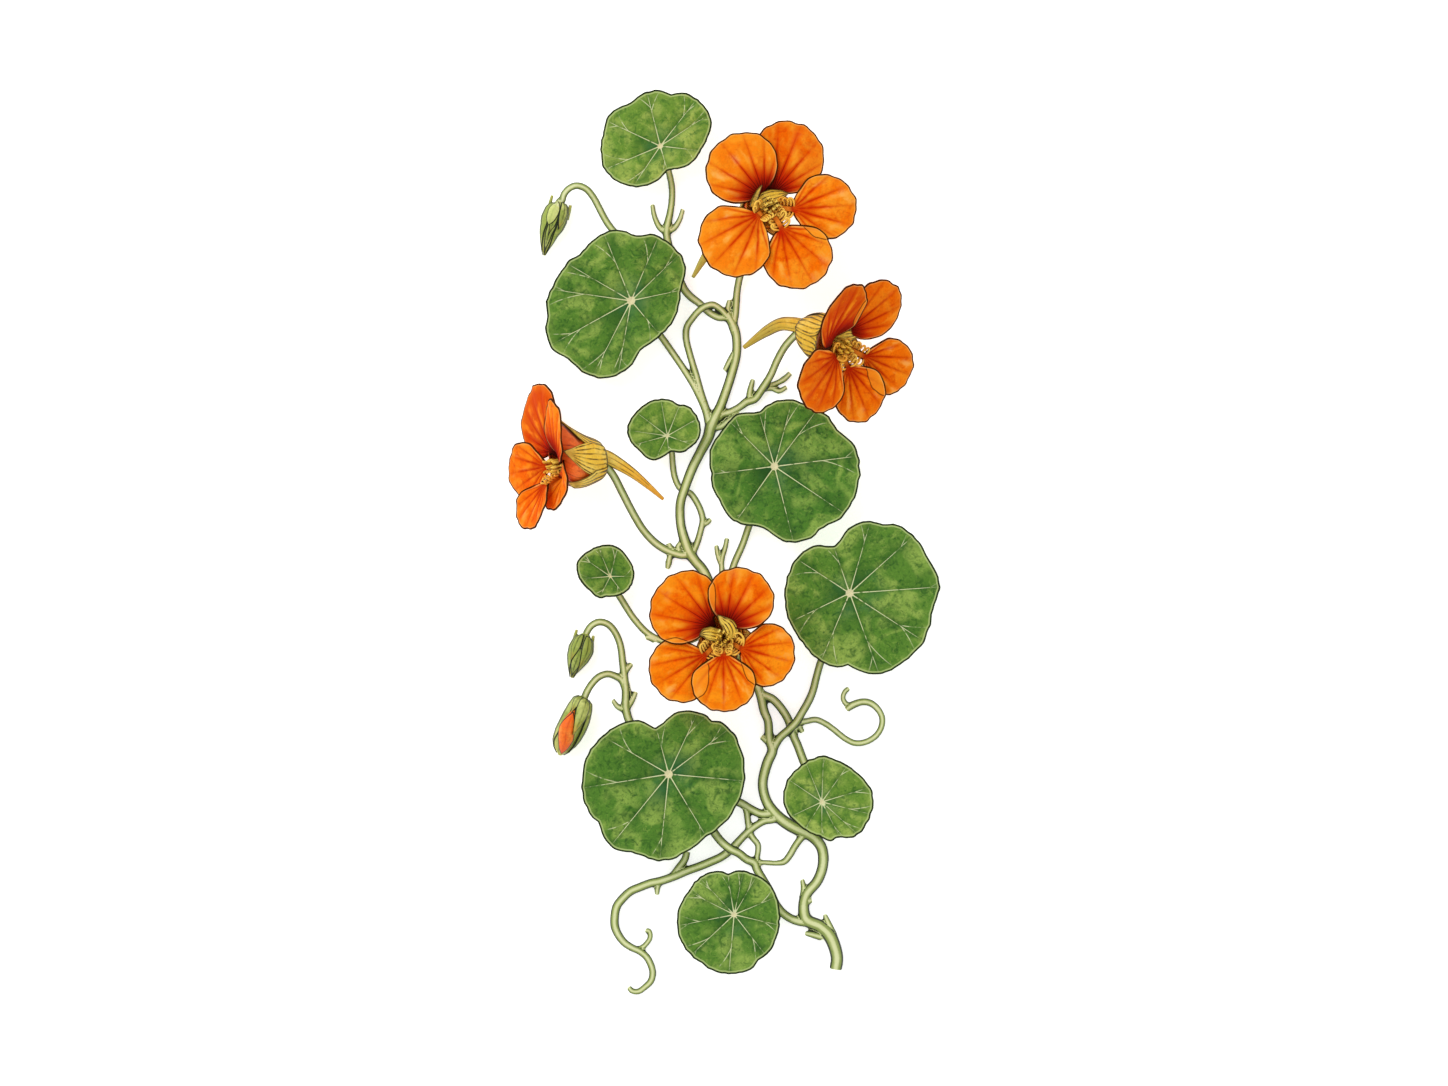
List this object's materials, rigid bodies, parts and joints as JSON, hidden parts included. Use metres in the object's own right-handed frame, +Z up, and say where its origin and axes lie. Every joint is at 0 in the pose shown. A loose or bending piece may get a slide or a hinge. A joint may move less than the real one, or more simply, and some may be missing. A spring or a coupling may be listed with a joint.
{
  "type": "nasturtium plant",
  "caption": "Cut trailing nasturtium shoot lying flat, with round long-stalked leaves, orange spurred flowers, nodding buds and curled tendrils.",
  "frame": {"origin": "middle of the shoot's outline, on the surface it lies on", "axes": "+Y from the cut end towards the growing tip, +X to the right seen from above, +Z up from the surface"},
  "size_m": [0.1548, 0.3246, 0.0477],
  "materials": {
    "stem_green": "satin, fine lengthwise ribs",
    "leaf_green": "matt with pale veins",
    "petal_orange": "matt velvety",
    "calyx_yellow": "satin",
    "stamen_yellow": "matt",
    "bud_green": "satin"
  },
  "bodies": {
    "root": {"vine": "stem_green", "leaf_1": "leaf_green", "leaf_2": "leaf_green", "leaf_3": "leaf_green", "leaf_4": "leaf_green", "leaf_5": "leaf_green", "leaf_6": "leaf_green", "leaf_7": "leaf_green", "leaf_8": "leaf_green", "leaf_9": "leaf_green", "flower_1_petal_upper_left": "petal_orange", "flower_1_petal_upper_right": "petal_orange", "flower_1_petal_side_right": "petal_orange", "flower_1_petal_lowest": "petal_orange", "flower_1_petal_side_left": "petal_orange", "flower_1_calyx": "calyx_yellow", "flower_1_stamens": "stamen_yellow", "flower_2_petal_upper_left": "petal_orange", "flower_2_petal_upper_right": "petal_orange", "flower_2_petal_side_right": "petal_orange", "flower_2_petal_lowest": "petal_orange", "flower_2_petal_side_left": "petal_orange", "flower_2_calyx": "calyx_yellow", "flower_2_stamens": "stamen_yellow", "flower_3_petal_upper_left": "petal_orange", "flower_3_petal_upper_right": "petal_orange", "flower_3_petal_side_right": "petal_orange", "flower_3_petal_lowest": "petal_orange", "flower_3_petal_side_left": "petal_orange", "flower_3_calyx": "calyx_yellow", "flower_3_stamens": "stamen_yellow", "flower_4_petal_upper_left": "petal_orange", "flower_4_petal_upper_right": "petal_orange", "flower_4_petal_side_right": "petal_orange", "flower_4_petal_lowest": "petal_orange", "flower_4_petal_side_left": "petal_orange", "flower_4_calyx": "calyx_yellow", "flower_4_stamens": "stamen_yellow", "bud_1": "bud_green", "bud_2": "bud_green", "bud_3_calyx": "bud_green", "bud_3_petals": "petal_orange"}
  },
  "joints": []
}
